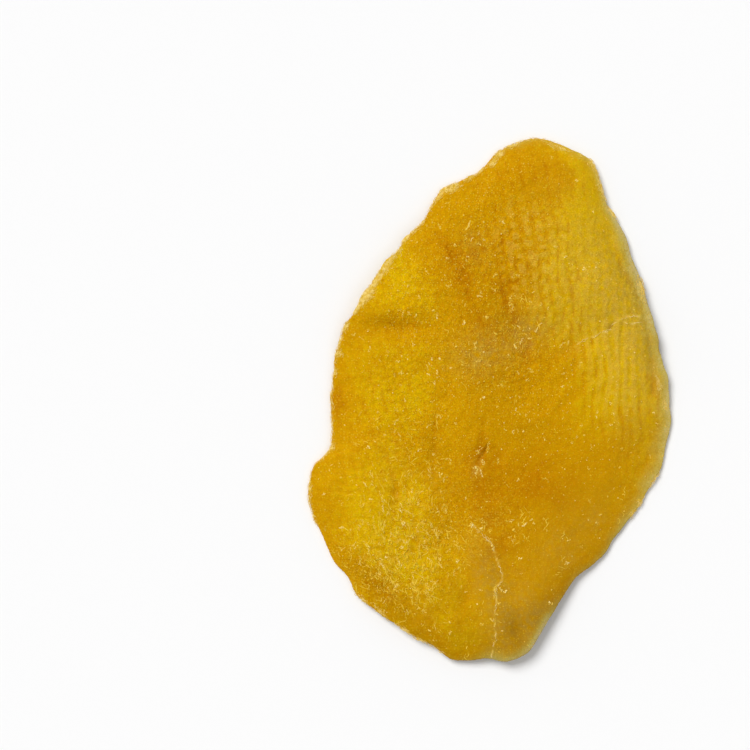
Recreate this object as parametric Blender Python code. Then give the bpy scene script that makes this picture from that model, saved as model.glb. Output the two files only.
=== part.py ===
"""A whole dried mango slice: one cheek of the fruit, dried to a thin, leathery, rippled sheet.

Metres, +Z up. The slice lies on Z = 0, its long way runs along Y with the stem end at +Y, and the
origin is under the middle of its outline.
"""

import math

import bmesh
import bpy
import numpy as np

MM = 0.001

# Driving sizes
LENGTH = 130.8 * MM
WIDTH = 91.0 * MM
FLESH_THICKNESS = 3.4 * MM
RIM_THICKNESS = 1.0 * MM
TAPER_WIDTH = 13.0 * MM
DOME_HEIGHT = 3.4 * MM
RIPPLE_HEIGHT = 1.3 * MM
RAGGED_HEIGHT = 0.12 * MM

# How the sheet settles on the surface below it: rise per metre across and along, depth of the
# flattened patches, and the half width of the blend round them
SLOPE_ACROSS = -0.0016
SLOPE_ALONG = -0.0094
PRESSED_DEPTH = 0.8 * MM
SETTLE_BLEND = 0.4 * MM

GRID_COLUMNS = 42
GRID_ROWS = 60

# The cut edge, clockwise from the stem end, as shares of the half width and the half length
OUTLINE = [
    (0.242, 1.000), (0.379, 0.978), (0.457, 0.957), (0.518, 0.938), (0.559, 0.915),
    (0.588, 0.873), (0.612, 0.816), (0.654, 0.737), (0.710, 0.682), (0.754, 0.609),
    (0.793, 0.533), (0.831, 0.456), (0.864, 0.380), (0.900, 0.303), (0.924, 0.227),
    (0.946, 0.162), (0.982, 0.070), (0.999, -0.025), (0.996, -0.098), (0.982, -0.175),
    (0.941, -0.266), (0.875, -0.354), (0.798, -0.434), (0.710, -0.515), (0.622, -0.599),
    (0.496, -0.671), (0.386, -0.763), (0.337, -0.824), (0.271, -0.901), (0.194, -0.970),
    (0.095, -0.994), (-0.004, -0.991), (-0.103, -1.000), (-0.202, -0.989), (-0.306, -0.947),
    (-0.444, -0.895), (-0.581, -0.828), (-0.696, -0.773), (-0.743, -0.740), (-0.790, -0.679),
    (-0.861, -0.618), (-0.900, -0.561), (-0.971, -0.454), (-0.999, -0.385), (-0.993, -0.293),
    (-0.971, -0.251), (-0.916, -0.217), (-0.875, -0.176), (-0.872, -0.132), (-0.879, -0.041),
    (-0.872, 0.055), (-0.839, 0.208), (-0.806, 0.273), (-0.740, 0.345), (-0.671, 0.428),
    (-0.587, 0.517), (-0.504, 0.577), (-0.471, 0.613), (-0.391, 0.663), (-0.316, 0.746),
    (-0.273, 0.796), (-0.172, 0.834), (-0.074, 0.864), (0.031, 0.938), (0.126, 0.975),
]
OUTLINE_STEPS = 12

# Swells and dents of the sheet: centre as shares of the half sizes, heading of the long way in
# degrees from +X, half length, half width and height in millimetres
SWELLS = [
    (-0.30, 0.50, -60, 21.0, 8.5, 1.2),  # ridge beside the upper left edge
    (0.16, 0.36, -82, 24.0, 7.0, -1.1),  # long valley down the upper middle
    (0.66, 0.34, -74, 26.0, 8.5, 1.6),  # ridge inside the right edge
    (0.78, 0.05, 87, 15.0, 4.5, 0.8),  # its lower end, close to the edge
    (-0.55, 0.36, 10, 9.0, 4.6, 0.7),  # pillow above the left hollow
    (-0.53, 0.268, 2, 7.5, 3.0, -1.2),  # left hollow
    (-0.63, -0.38, -86, 20.0, 6.5, 1.3),  # ridge inside the lower left edge
    (-0.24, -0.43, -80, 8.0, 4.0, -1.0),  # dent between the lower ridges
    (-0.33, -0.70, 10, 9.0, 4.5, 0.9),  # lower pillow
    (0.36, -0.36, 50, 17.0, 10.0, 0.6),  # broad lower right swell
    (0.134, -0.875, -65, 5.5, 3.0, -1.0),  # thumb dent near the tip
    (0.28, 0.05, 20, 14.0, 6.5, -0.6),  # saddle right of the middle
    (-0.12, -0.04, -85, 15.0, 6.0, 0.7),  # low ridge through the middle
    (0.36, 0.86, -20, 12.0, 6.0, 0.7),  # shoulder at the stem end
    (0.02, -0.77, -68, 12.0, 3.6, 0.8),  # fold that runs to the tip
    (-0.15, -0.78, -70, 10.0, 3.0, -0.6),  # groove on its left
]

# Waves of the rim: waves round the sheet, share of the ripple height, heading of a crest in degrees
RIPPLES = [(2, 0.35, 60), (3, 0.95, 30), (5, 0.60, 75), (8, 0.30, 15)]

RAGGED_WAVES = range(14, 62)
RAGGED_SEED = 7

FLESH_COLOUR = (0.60, 0.31, 0.010, 1.0)
FLESH_ROUGHNESS = 0.52


def smooth_closed(knots, steps):
    """Points of a smooth closed curve through the knots, with the tangents of a non-uniform spline."""
    after = np.roll(knots, -1, axis=0)
    chord = np.linalg.norm(after - knots, axis=1)[:, None]
    before_chord = np.roll(chord, 1, axis=0)
    slope = (after - knots) / chord
    before_slope = np.roll(slope, 1, axis=0)
    tangent = (slope * before_chord + before_slope * chord) / (chord + before_chord)
    after_tangent = np.roll(tangent, -1, axis=0)
    t = (np.arange(steps) / steps)[:, None, None]
    curve = (
        (2 * t**3 - 3 * t**2 + 1) * knots
        + (t**3 - 2 * t**2 + t) * chord * tangent
        + (3 * t**2 - 2 * t**3) * after
        + (t**3 - t**2) * chord * after_tangent
    )
    return curve.transpose(1, 0, 2).reshape(-1, 2)


def ragged(heading):
    """Small unevenness of the cut edge: a sum of waves with seeded sizes and phases."""
    draw = np.random.default_rng(RAGGED_SEED)
    total = np.zeros_like(heading)
    for waves in RAGGED_WAVES:
        size = draw.normal() * (RAGGED_WAVES[0] / waves) ** 0.8
        total += size * np.cos(waves * heading + draw.uniform(0, 2 * math.pi))
    return RAGGED_HEIGHT * total / 2.2


def outline_table():
    """Headings from the origin, ascending, and the distance to the cut edge along each."""
    points = smooth_closed(np.array(OUTLINE) * (WIDTH / 2, LENGTH / 2), OUTLINE_STEPS)
    heading = np.arctan2(points[:, 1], points[:, 0])
    points *= (1 + ragged(heading) / np.linalg.norm(points, axis=1))[:, None]
    low, high = points.min(axis=0), points.max(axis=0)
    points = (points - (low + high) / 2) / (high - low) * (WIDTH, LENGTH)
    heading = np.arctan2(points[:, 1], points[:, 0])
    order = np.argsort(heading)
    return heading[order], np.linalg.norm(points, axis=1)[order]


HEADINGS, REACHES = outline_table()


def reach(heading):
    """Distance from the origin to the cut edge, along a heading."""
    return np.interp(heading, HEADINGS, REACHES, period=2 * math.pi)


def plan_of(u, v):
    """Maps the square grid -1 to 1 onto the outline. Gives x, y and the distance left to the edge."""
    across = u * np.sqrt(1 - v * v / 2) * WIDTH / 2
    along = v * np.sqrt(1 - u * u / 2) * LENGTH / 2
    share = np.hypot(across / (WIDTH / 2), along / (LENGTH / 2))
    heading = np.arctan2(along, across)
    edge = reach(heading)
    return share * edge * np.cos(heading), share * edge * np.sin(heading), (1 - share) * edge


def swell_height(x, y):
    """Sum of the swells and dents, each a smooth hump on an ellipse."""
    total = np.zeros_like(x)
    for across, along, turn, half_length, half_width, height in SWELLS:
        dx = x - across * WIDTH / 2
        dy = y - along * LENGTH / 2
        angle = math.radians(turn)
        lengthways = (dx * math.cos(angle) + dy * math.sin(angle)) / (half_length * MM)
        sideways = (dy * math.cos(angle) - dx * math.sin(angle)) / (half_width * MM)
        total += height * MM * np.exp(-(lengthways**2) - sideways**2)
    return total


def middle_height(x, y):
    """Height of the middle of the sheet: a low dome, waves that grow towards the rim, and swells."""
    across, along = x / (WIDTH / 2), y / (LENGTH / 2)
    out = np.hypot(across, along)
    heading = np.arctan2(along, across)
    waves = sum(size * np.cos(n * heading - n * math.radians(crest)) for n, size, crest in RIPPLES)
    dome = DOME_HEIGHT * (1 - out**2)
    slope = SLOPE_ACROSS * x + SLOPE_ALONG * y
    return dome + RIPPLE_HEIGHT * out**3 * waves + swell_height(x, y) + slope


def settle(height):
    """Flattens what would reach below Z = 0, with a smooth blend round the flat patches."""
    blended = (height + SETTLE_BLEND) ** 2 / (4 * SETTLE_BLEND)
    return np.where(height > SETTLE_BLEND, height, np.where(height > -SETTLE_BLEND, blended, 0.0))


def sheet_faces(u, v):
    """x, y and the heights of the lower and the upper face, over the square grid."""
    x, y, inwards = plan_of(u, v)
    growth = np.sin(np.clip(inwards / TAPER_WIDTH, 0, 1) * math.pi / 2)
    thickness = RIM_THICKNESS + (FLESH_THICKNESS - RIM_THICKNESS) * growth
    lower = middle_height(x, y) - thickness / 2
    lower = settle(lower - lower.min() - PRESSED_DEPTH)
    return x, y, lower, lower + thickness


def start_scene():
    """Clears the scene and gives the collection that holds the slice."""
    for thing in list(bpy.data.objects):
        bpy.data.objects.remove(thing)
    collection = bpy.data.collections.new("dried_mango_slice")
    bpy.context.scene.collection.children.link(collection)
    return collection


def flesh_material():
    """Golden, slightly translucent dried flesh."""
    material = bpy.data.materials.new("dried_flesh")
    material.use_nodes = True
    shader = material.node_tree.nodes["Principled BSDF"]
    shader.inputs["Base Color"].default_value = FLESH_COLOUR
    shader.inputs["Roughness"].default_value = FLESH_ROUGHNESS
    shader.inputs["Metallic"].default_value = 0.0
    shader.inputs["Subsurface Weight"].default_value = 0.25
    shader.inputs["Subsurface Radius"].default_value = (1.0, 0.5, 0.1)
    shader.inputs["Subsurface Scale"].default_value = 1.5 * MM
    return material


def slice_mesh():
    """The sheet as a closed mesh: a split grid, its copy above it, and a rim of one face between."""
    slab = bmesh.new()
    bmesh.ops.create_grid(slab, x_segments=GRID_COLUMNS, y_segments=GRID_ROWS, size=1)
    grid = np.array([vertex.co for vertex in slab.verts])
    x, y, lower, upper = sheet_faces(grid[:, 0], grid[:, 1])
    for vertex, place in zip(slab.verts, zip(x, y, lower)):
        vertex.co = place
    bmesh.ops.triangulate(slab, faces=slab.faces[:], quad_method="SHORT_EDGE")
    thickness = {tuple(vertex.co): gain for vertex, gain in zip(slab.verts, upper - lower)}
    raised = bmesh.ops.extrude_face_region(slab, geom=slab.faces[:], use_keep_orig=True)
    for vertex in raised["geom"]:
        if isinstance(vertex, bmesh.types.BMVert):
            vertex.co.z += thickness[tuple(vertex.co)]
    bmesh.ops.recalc_face_normals(slab, faces=slab.faces[:])
    mesh = bpy.data.meshes.new("mango_slice")
    slab.to_mesh(mesh)
    slab.free()
    mesh.shade_smooth()
    return mesh


def main():
    collection = start_scene()
    mesh = slice_mesh()
    mesh.materials.append(flesh_material())
    collection.objects.link(bpy.data.objects.new("mango_slice", mesh))


main()
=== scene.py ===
"""A dried mango slice seen from straight above: golden leathery flesh with the print of the drying mesh,
pulled fibres, sugar grains and a frayed pale edge.

The shape functions work in millimetres, with the stem end at +Y and the surface it lies on at Z = 0.
Headings are degrees from +X, against the clock as seen from above.
"""

import math

import bpy
import numpy as np
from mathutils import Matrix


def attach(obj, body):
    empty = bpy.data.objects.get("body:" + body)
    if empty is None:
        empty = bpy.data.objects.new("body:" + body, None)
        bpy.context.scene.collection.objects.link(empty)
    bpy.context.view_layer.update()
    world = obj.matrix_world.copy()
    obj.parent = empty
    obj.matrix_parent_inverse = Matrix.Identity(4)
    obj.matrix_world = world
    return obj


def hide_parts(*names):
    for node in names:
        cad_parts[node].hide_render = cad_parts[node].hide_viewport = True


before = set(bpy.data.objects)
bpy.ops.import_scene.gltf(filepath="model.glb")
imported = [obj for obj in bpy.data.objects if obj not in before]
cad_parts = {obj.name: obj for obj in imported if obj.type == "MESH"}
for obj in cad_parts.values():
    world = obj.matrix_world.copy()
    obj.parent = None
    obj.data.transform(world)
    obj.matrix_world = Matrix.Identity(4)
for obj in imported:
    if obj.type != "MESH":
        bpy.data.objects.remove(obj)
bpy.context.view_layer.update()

MM = 0.001
TURN = 2 * math.pi

# The sheet's form, as the solid has it
LENGTH = 130.8
WIDTH = 91.0
FLESH_THICKNESS = 3.4
RIM_THICKNESS = 1.0
TAPER_WIDTH = 13.0
DOME_HEIGHT = 3.4
RIPPLE_HEIGHT = 1.3
RAGGED_HEIGHT = 0.12
SLOPE_ACROSS = -0.0016
SLOPE_ALONG = -0.0094
PRESSED_DEPTH = 0.8
SETTLE_BLEND = 0.4
SOLID_COLUMNS = 42
SOLID_ROWS = 60
OUTLINE = [
    (0.242, 1.000), (0.379, 0.978), (0.457, 0.957), (0.518, 0.938), (0.559, 0.915), (0.588, 0.873),
    (0.612, 0.816), (0.654, 0.737), (0.710, 0.682), (0.754, 0.609), (0.793, 0.533), (0.831, 0.456),
    (0.864, 0.380), (0.900, 0.303), (0.924, 0.227), (0.946, 0.162), (0.982, 0.070), (0.999, -0.025),
    (0.996, -0.098), (0.982, -0.175), (0.941, -0.266), (0.875, -0.354), (0.798, -0.434), (0.710, -0.515),
    (0.622, -0.599), (0.496, -0.671), (0.386, -0.763), (0.337, -0.824), (0.271, -0.901), (0.194, -0.970),
    (0.095, -0.994), (-0.004, -0.991), (-0.103, -1.000), (-0.202, -0.989), (-0.306, -0.947),
    (-0.444, -0.895), (-0.581, -0.828), (-0.696, -0.773), (-0.743, -0.740), (-0.790, -0.679),
    (-0.861, -0.618), (-0.900, -0.561), (-0.971, -0.454), (-0.999, -0.385), (-0.993, -0.293),
    (-0.971, -0.251), (-0.916, -0.217), (-0.875, -0.176), (-0.872, -0.132), (-0.879, -0.041),
    (-0.872, 0.055), (-0.839, 0.208), (-0.806, 0.273), (-0.740, 0.345), (-0.671, 0.428), (-0.587, 0.517),
    (-0.504, 0.577), (-0.471, 0.613), (-0.391, 0.663), (-0.316, 0.746), (-0.273, 0.796), (-0.172, 0.834),
    (-0.074, 0.864), (0.031, 0.938), (0.126, 0.975),
]
OUTLINE_STEPS = 12
# Swells of the sheet, as in the tables below, with x and y as shares of the half width and half length
SWELLS = [
    (-0.3, 0.5, -60, 21, 8.5, 1.2), (0.16, 0.36, -82, 24, 7, -1.1), (0.66, 0.34, -74, 26, 8.5, 1.6),
    (0.78, 0.05, 87, 15, 4.5, 0.8), (-0.55, 0.36, 10, 9, 4.6, 0.7), (-0.53, 0.268, 2, 7.5, 3, -1.2),
    (-0.63, -0.38, -86, 20, 6.5, 1.3), (-0.24, -0.43, -80, 8, 4, -1), (-0.33, -0.7, 10, 9, 4.5, 0.9),
    (0.36, -0.36, 50, 17, 10, 0.6), (0.134, -0.875, -65, 5.5, 3, -1), (0.28, 0.05, 20, 14, 6.5, -0.6),
    (-0.12, -0.04, -85, 15, 6, 0.7), (0.36, 0.86, -20, 12, 6, 0.7), (0.02, -0.77, -68, 12, 3.6, 0.8),
    (-0.15, -0.78, -70, 10, 3, -0.6),
]
RIPPLES = [(2, 0.35, 60), (3, 0.95, 30), (5, 0.60, 75), (8, 0.30, 15)]
RAGGED_WAVES = range(14, 62)
RAGGED_SEED = 7

# The visible mesh: quads across and along the upper face, and rows round the edge's half round
UPPER_COLUMNS = 224
UPPER_ROWS = 320
EDGE_ROWS = 6
EDGE_ROUND = 0.42

# The mesh's print. Where it has its level, between 0 and 1, it lies on the solid's own face.
MESH_COLUMN_PITCH = 2.45
MESH_ROW_PITCH = 2.75
MESH_PRINT_HEIGHT = 0.16
MESH_LEAN = 0.26
PRINT_LEVEL = 0.7

# In a table each row is an ellipse on the upper face: x, y, heading, half length, half width, and then what
# the line above the table names.

# Where the mesh's print is kept: strength
PRINTED = [
    (6.5, 37, -75, 16, 9, 0.7), (22, 26, -75, 36, 16, 0.7), (34, 8, 90, 24, 9, 0.6),
    (-26, -10, 90, 34, 13, 0.45),
]

# Folds: height, or depth below 0
FOLDS = [
    (-24.4, 18, 0, 5.5, 1.8, -0.27), (-16, 17.5, -5, 4, 1.3, -0.14), (-11.2, 38.1, -62, 4, 1.5, -0.24),
    (-6.4, 30, -72, 4, 1.4, -0.2), (4.5, 24, -74, 7, 1.8, -0.26), (8.6, 13, -80, 6, 2, -0.26),
    (-32.9, -27.2, 90, 10, 4, 0.25), (-23.9, -24.4, 86, 5, 1.1, -0.3), (-18.6, -23.7, 88, 5, 1.8, 0.2),
    (-12.4, -28.2, 84, 5.5, 2, -0.06), (-17.9, -41.4, 10, 5, 2.6, 0.25), (-13.8, -8.5, 85, 11, 1.3, -0.32),
    (-28, -8.5, 5, 6, 1.6, -0.2), (6.3, -57.6, -62, 4.2, 2.4, -0.34), (18.1, 56.8, -35, 5, 2.6, -0.25),
    (31, 2, 87, 9, 1.6, 0.22), (17.5, 33, 73, 10, 2, 0.25), (24, 27, 70, 9, 1.6, 0.18),
    (-10.5, 3.6, 88, 6, 1, -0.2), (-2.5, -12, 82, 6, 1, -0.25), (20, 12.5, 25, 7, 1.8, -0.18),
]

# Pleats: pitch, height
PLEATS = [
    (14.5, 23, 60, 9, 6, 2.3, 0.07), (17, 0, 52, 13, 9, 4.6, 0.075), (7, 3.3, 88, 9, 4, 2.5, 0.06),
    (31, 12, 86, 14, 6, 2.6, 0.06), (5, 27, -66, 9, 4, 2.6, 0.06), (-33, -30, 88, 12, 5, 2.9, 0.07),
    (-20, -30, 84, 12, 5, 3.4, 0.08), (36, -14, 78, 12, 5, 2.4, 0.04), (32, 24, 84, 14, 7, 1.5, 0.055),
    (35, 6, 88, 12, 6, 1.6, 0.035), (-30, 2, 4, 6, 8, 2.2, 0.04), (-34, -22, 2, 6, 7, 2, 0.04),
]

# Creases, cracks and seams: half width, rise (or depth below 0), paleness, points
CREASES = {
    "inner streak": (1.1, -0.06, 0, [(-12.5, 40.6), (-9.5, 35.2), (-7, 29.8), (-5.4, 25)]),
    "crack": (0.36, -0.34, 0, [(-0.9, -11.4), (-1.8, -13), (-2.7, -14.7)]),
    "fissure": (0.45, -0.3, 0, [(30.4, 18.9), (29.6, 18), (29, 17.2)]),
    "rim furrow": (1.2, -0.46, 0, [
        (29.5, 40), (32, 34.3), (36, 27.3), (38.8, 19.3), (40.2, 10), (40.6, 2)]),
    "right seam": (0.4, 0.06, 0.45, [
        (21, 13.5), (23.6, 15.2), (26.1, 15.8), (29.1, 17.1), (30.2, 18.5), (32.1, 19.8), (34.5, 20.7),
        (37, 20.6)]),
    "seam's branch": (0.35, 0.04, 0.35, [(32.4, 19.5), (34.4, 18.8), (36.3, 18.9)]),
    "long crease": (0.2, 0.05, 0.7, [
        (-4.8, -30.8), (-2.3, -33.3), (0.2, -35.8), (1.2, -38.8), (2.2, -41.6), (2.9, -44.2), (1.2, -46.8),
        (1.4, -50), (0.8, -54.6), (1.3, -58.6), (0.2, -64.3)]),
    "satin groove": (1.3, -0.12, 0, [(4.1, -33.7), (0, -38.2), (-3.9, -43.7), (-6.4, -50.2), (-7.9, -57.7)]),
}

# Tone, from orange below 0 to yellow above
TONES = [
    (-23.5, 33.7, -55, 22, 8, 0.65), (-27, 4, 90, 16, 11, 0.5), (-29.8, -27.6, 90, 17, 9, 0.5),
    (-20, -41, 20, 14, 9, 0.35), (-31, -44, -45, 8, 4, -0.4), (-33, -10, 90, 6, 4, -0.4),
    (15, 30, -78, 17, 5, 0.36), (8, 51, 0, 8, 8, 0.45), (24, -4, 60, 8, 5, 0.3),
    (-19, -26, 60, 10, 8, 0.3), (-18, 3, 60, 8, 6, 0.3), (-17, 18, 0, 13, 3.5, -0.45),
    (-15, 36, -60, 8, 5, -0.3), (-1, 11, 0, 9, 8, -0.3), (2, -35, -60, 8, 5, -0.45),
    (16, 56, 0, 13, 7, -0.6), (10, 48, 0, 14, 9, -0.2), (-4.8, 46.2, 40, 12, 10, -0.15),
    (-6.5, 27.4, -70, 14, 5, -0.6), (5, 26, -80, 14, 6, -0.4), (27.5, 38, -70, 24, 8, 1.3),
    (33, 12, -84, 22, 8, 1.2), (7.7, 0, 0, 16, 13, -0.1), (10, -20, 10, 15, 10, -0.62),
    (20, -23, 0, 5, 4, -0.25), (20, 15, 0, 4, 4, 0.18), (-2.3, -22.6, 0, 9, 10, -0.35),
    (28, -27, 50, 12, 8, 0.1), (-7, -58, 0, 9, 7, 0.38), (12, -54, 40, 10, 8, -0.15),
    (12, -40, 40, 12, 7, -0.25), (-24, -50, -42, 16, 2.6, -0.55), (20, -45, 45, 10, 3.5, -0.35),
    (-38, 0, 90, 6, 2.8, -0.9), (41, -12, 80, 9, 3.5, -0.05), (33, -7, 90, 9, 4, -0.4),
    (-25, 8, 90, 7, 6, -0.25), (-13, -51, 0, 8, 6, 0.2), (11, -47, 30, 5, 4, 0.25),
    (-5, -14, 0, 8, 4.5, -0.25), (6, 56.5, 0, 6, 5, -0.3), (13, 49, 0, 8, 5, -0.15),
    (22, 58, -40, 8, 3.5, 0.55), (12, 19, 0, 13, 6, 0.18), (-10.5, -2, 90, 10, 4, 0.15),
    (29.6, 17.9, 57, 1.2, 0.5, -1.6), (33, 29, -70, 7, 5, -0.45), (6.3, -57.6, -62, 4.2, 2.6, 0.45),
    (-0.5, 37.5, 0, 5, 5, -0.15),
]

# Dry greyish patches: strength
DUSTY = [
    (-2.2, 11.5, 20, 7, 5, 0.9), (8.5, 16, 60, 5, 3, 0.7), (-4, 38, -70, 5, 3, 0.4),
    (8, -54, -70, 9, 6, 0.65), (-1.2, -43.5, -72, 9, 3.8, 0.75), (38, 27, -70, 14, 3, 0.3),
    (29.5, 30, -72, 20, 7.5, 0.85), (36, 6, -86, 18, 7, 0.4), (18, 31, -76, 15, 8, 0.35),
    (38.5, 13.5, -80, 6, 3.5, 0.4), (12.5, -56, 50, 9, 5, 0.5), (3, -58, 90, 6, 4.5, 0.65),
    (6.6, -57.6, -72, 4, 2.2, -0.6), (20, -34, 45, 14, 6, 0.25), (12, 17.5, 0, 8, 4.5, 0.4),
    (26.5, -30, 0, 2.2, 1.8, 0.45), (-3.4, -17.2, 75, 2, 1.1, 1), (15, -36.5, 30, 3, 1.8, 0.4),
    (19.5, -40, 40, 3, 1.8, 0.35),
]

# Lighter patches, or darker below 0 with painted shade along cracks and where the tip turns from the light:
# share
LIGHTNESS_AND_SHADE = [
    (-25, -46, -40, 9, 5, -0.09), (4, -55, 0, 11, 7, -0.05), (12.5, -54, 50, 8, 5, -0.13),
    (0.5, -42.5, -70, 6, 4, -0.08), (25, 22, 0, 12, 5.5, -0.09), (11, 29, 0, 4, 4, -0.05),
    (22.5, 57, 0, 4, 3, -0.06), (-16, -26, 90, 4, 4, 0.13), (39, 0, 90, 8, 3, 0.13),
    (-21.5, 23.5, 45, 4, 3, 0.08), (3, 45, 70, 12, 4, 0.05), (-1.8, -13, 59, 1.9, 0.35, -0.3),
    (29.7, 18, 50, 1.6, 0.45, -0.3), (33.5, 29, -64, 7, 3, -0.08), (39, 12.5, 90, 3.5, 3, -0.08),
    (12, 17.5, 0, 9, 4, -0.06), (22.6, 12.6, 0, 4, 3, 0.06), (-10.5, -31.5, 0, 3.5, 3, -0.07),
    (-32.5, -42.5, 0, 3.5, 3, -0.06), (0.5, -26, 0, 4, 3, 0.06), (-5, -37, 0, 3, 3, 0.05),
    (-17, -48, 0, 7, 3, 0.06), (-7, -60, 0, 12, 4.5, -0.15), (4, -61, 0, 6, 3, -0.06),
    (6.3, -57.4, -72, 4.4, 2, -0.12), (-22, -54, -40, 6, 2.5, -0.08), (-13.2, -12.2, 0, 3, 3, -0.08),
    (4.5, 19.5, 0, 5, 4, -0.06), (-29.7, -45.5, -45, 4, 3, -0.06), (4, -28, 0, 5, 3, -0.05),
    (9, -7, 0, 8, 3, -0.08), (-7.7, 9.8, 0, 3, 3, -0.05), (26.5, -30, 0, 2.2, 1.8, 0.06),
    (-3.4, -17.2, 75, 2, 1.1, 0.08), (15, -36.5, 30, 3, 1.8, 0.06), (19.5, -40, 40, 3, 1.8, 0.06),
]

# Smooth satin patches: strength
SATIN = [
    (-2.5, -44, -80, 9, 3.6, 1), (14, -38, 45, 19, 11, 0.75), (24, -22, 60, 13, 12, 0.45),
]

# More frosted and grained patches, or less below 0: strength
FROSTED = [
    (2, 38, 80, 16, 14, 0.75), (4, 9, 0, 13, 10, 0.65), (-21, -4, 90, 14, 11, 0.6),
    (-20, -37, 30, 17, 12, 0.9), (-21, 26, -60, 15, 9, 0.65), (22, -24, 50, 16, 12, -0.22),
    (-2.5, -45, -80, 9, 3.5, -0.25), (28, 26, -75, 22, 9, 0.3), (10, -48, 45, 12, 8, -0.15),
]

# Cream fibres along the edge: strength
EDGE_FIBRES = [
    (-21.4, 40.1, 45, 1.12, 0.75, 1.3), (-19.4, 41.8, 42, 1.25, 0.5, 1), (-17.2, 44.3, 50, 1.5, 0.45, 0.8),
    (-14.7, 48.1, 55, 2, 0.38, 0.6), (-12.7, 50.6, 55, 1.25, 0.45, 0.8), (-11.4, 52.6, 40, 1.12, 0.8, 1.3),
    (-9.2, 53.1, 25, 1.75, 1.05, 0.9), (-4.9, 55.6, 30, 1.5, 0.4, 1), (-2.2, 57.5, 35, 1.25, 0.5, 0.9),
    (0.7, 59.1, 40, 1, 0.6, 1.3), (2.3, 61.2, 50, 1.5, 0.75, 0.9), (5.6, 63.7, 15, 2.25, 0.5, 0.8),
    (10.1, 65, 5, 2.5, 0.4, 0.4), (16.6, 63.3, -25, 3.5, 0.6, 0.5), (25.9, 58.4, -60, 2.4, 0.75, 0.7),
    (27.8, 52.6, -72, 3, 0.5, 0.6), (30.8, 46.8, -55, 1.75, 0.65, 0.6), (-22.7, 37.3, 50, 0.75, 0.45, 0.9),
    (-24.4, 35.2, 45, 1.25, 0.62, 0.9), (-25.8, 33.3, 55, 1.75, 0.75, 1.1),
    (-28.4, 29.6, 57, 2.25, 0.75, 1.2), (-30.9, 25.8, 55, 2.5, 1.12, 1.3),
    (-33.4, 22.6, 55, 1.75, 0.62, 1.1), (-36.1, 18.1, 58, 1.5, 0.5, 0.9), (-37.9, 14.6, 60, 1.5, 0.5, 0.8),
    (-38.2, 11.8, 88, 2, 0.55, 0.5), (-37.4, 11.3, 60, 1, 0.62, 0.5), (-38.7, 6.8, 88, 2, 0.45, 0.3),
    (37.6, 28.1, -78, 3, 0.88, 0.5), (42, 3.6, -74, 2.4, 0.5, 0.5), (43.5, -1.2, -82, 1.7, 0.5, 0.5),
    (35.7, -28.4, 45, 1.25, 0.5, 0.7), (37.6, -25.9, 48, 1.25, 0.45, 0.5), (41.1, -20.2, 58, 2, 0.45, 0.5),
    (-17.9, -60.2, -35, 2, 0.4, 0.6), (-21.4, -57.7, -40, 2, 0.45, 0.6),
    (-13.4, -62.7, -32, 1.75, 0.35, 0.4), (-27.2, -53, -42, 2.5, 0.4, 0.6),
    (-31.8, -49.8, -42, 3, 0.35, 0.4), (-39.6, 2, 90, 6, 0.35, 0.45), (-39.5, -7, 90, 4, 0.35, 0.35),
    (-39.6, -12, 65, 1.5, 0.6, 0.6), (-42.3, -14.8, 38, 2.5, 0.35, 0.4), (-45, -22, 92, 5, 0.4, 0.55),
    (-44, -30, 112, 3, 0.35, 0.35),
]

# See-through bands of the thin edge, paler and greyer, partly painted light through it: heading, half span,
# width, strength
LIT_THROUGH_BANDS = [
    (82, 9, 2, 0.35), (67, 6, 2, 0.55), (56, 6, 2.4, 0.8), (46, 7, 2.7, 0.75), (36, 7, 2.7, 0.85),
    (26, 6, 3, 0.55), (11, 14, 3.2, 0.67), (-10, 13, 3.4, 0.68), (-29, 10, 3, 0.54), (-43, 7, 2.4, 0.52),
    (-54, 7, 1.4, 0.45), (-66, 7, 1.6, 0.35), (-78, 6, 2.8, 0.9), (-88, 6, 2.2, 0.65), (-103, 10, 1, 0.3),
    (166, 9, 1.8, 0.15),
]

# The edge's darker stretches, painted shade where the rim falls away from the light: heading, half span,
# width, share
EDGE_PAINTED_SHADE = [
    (56, 6, 2, -0.1), (40, 12, 2.4, -0.2), (20, 8, 1.8, -0.16), (-45, 8, 1.8, -0.14),
    (-64, 12, 2.6, -0.24), (-88, 12, 2.2, -0.22), (-108, 12, 1.6, -0.1),
]

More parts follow.
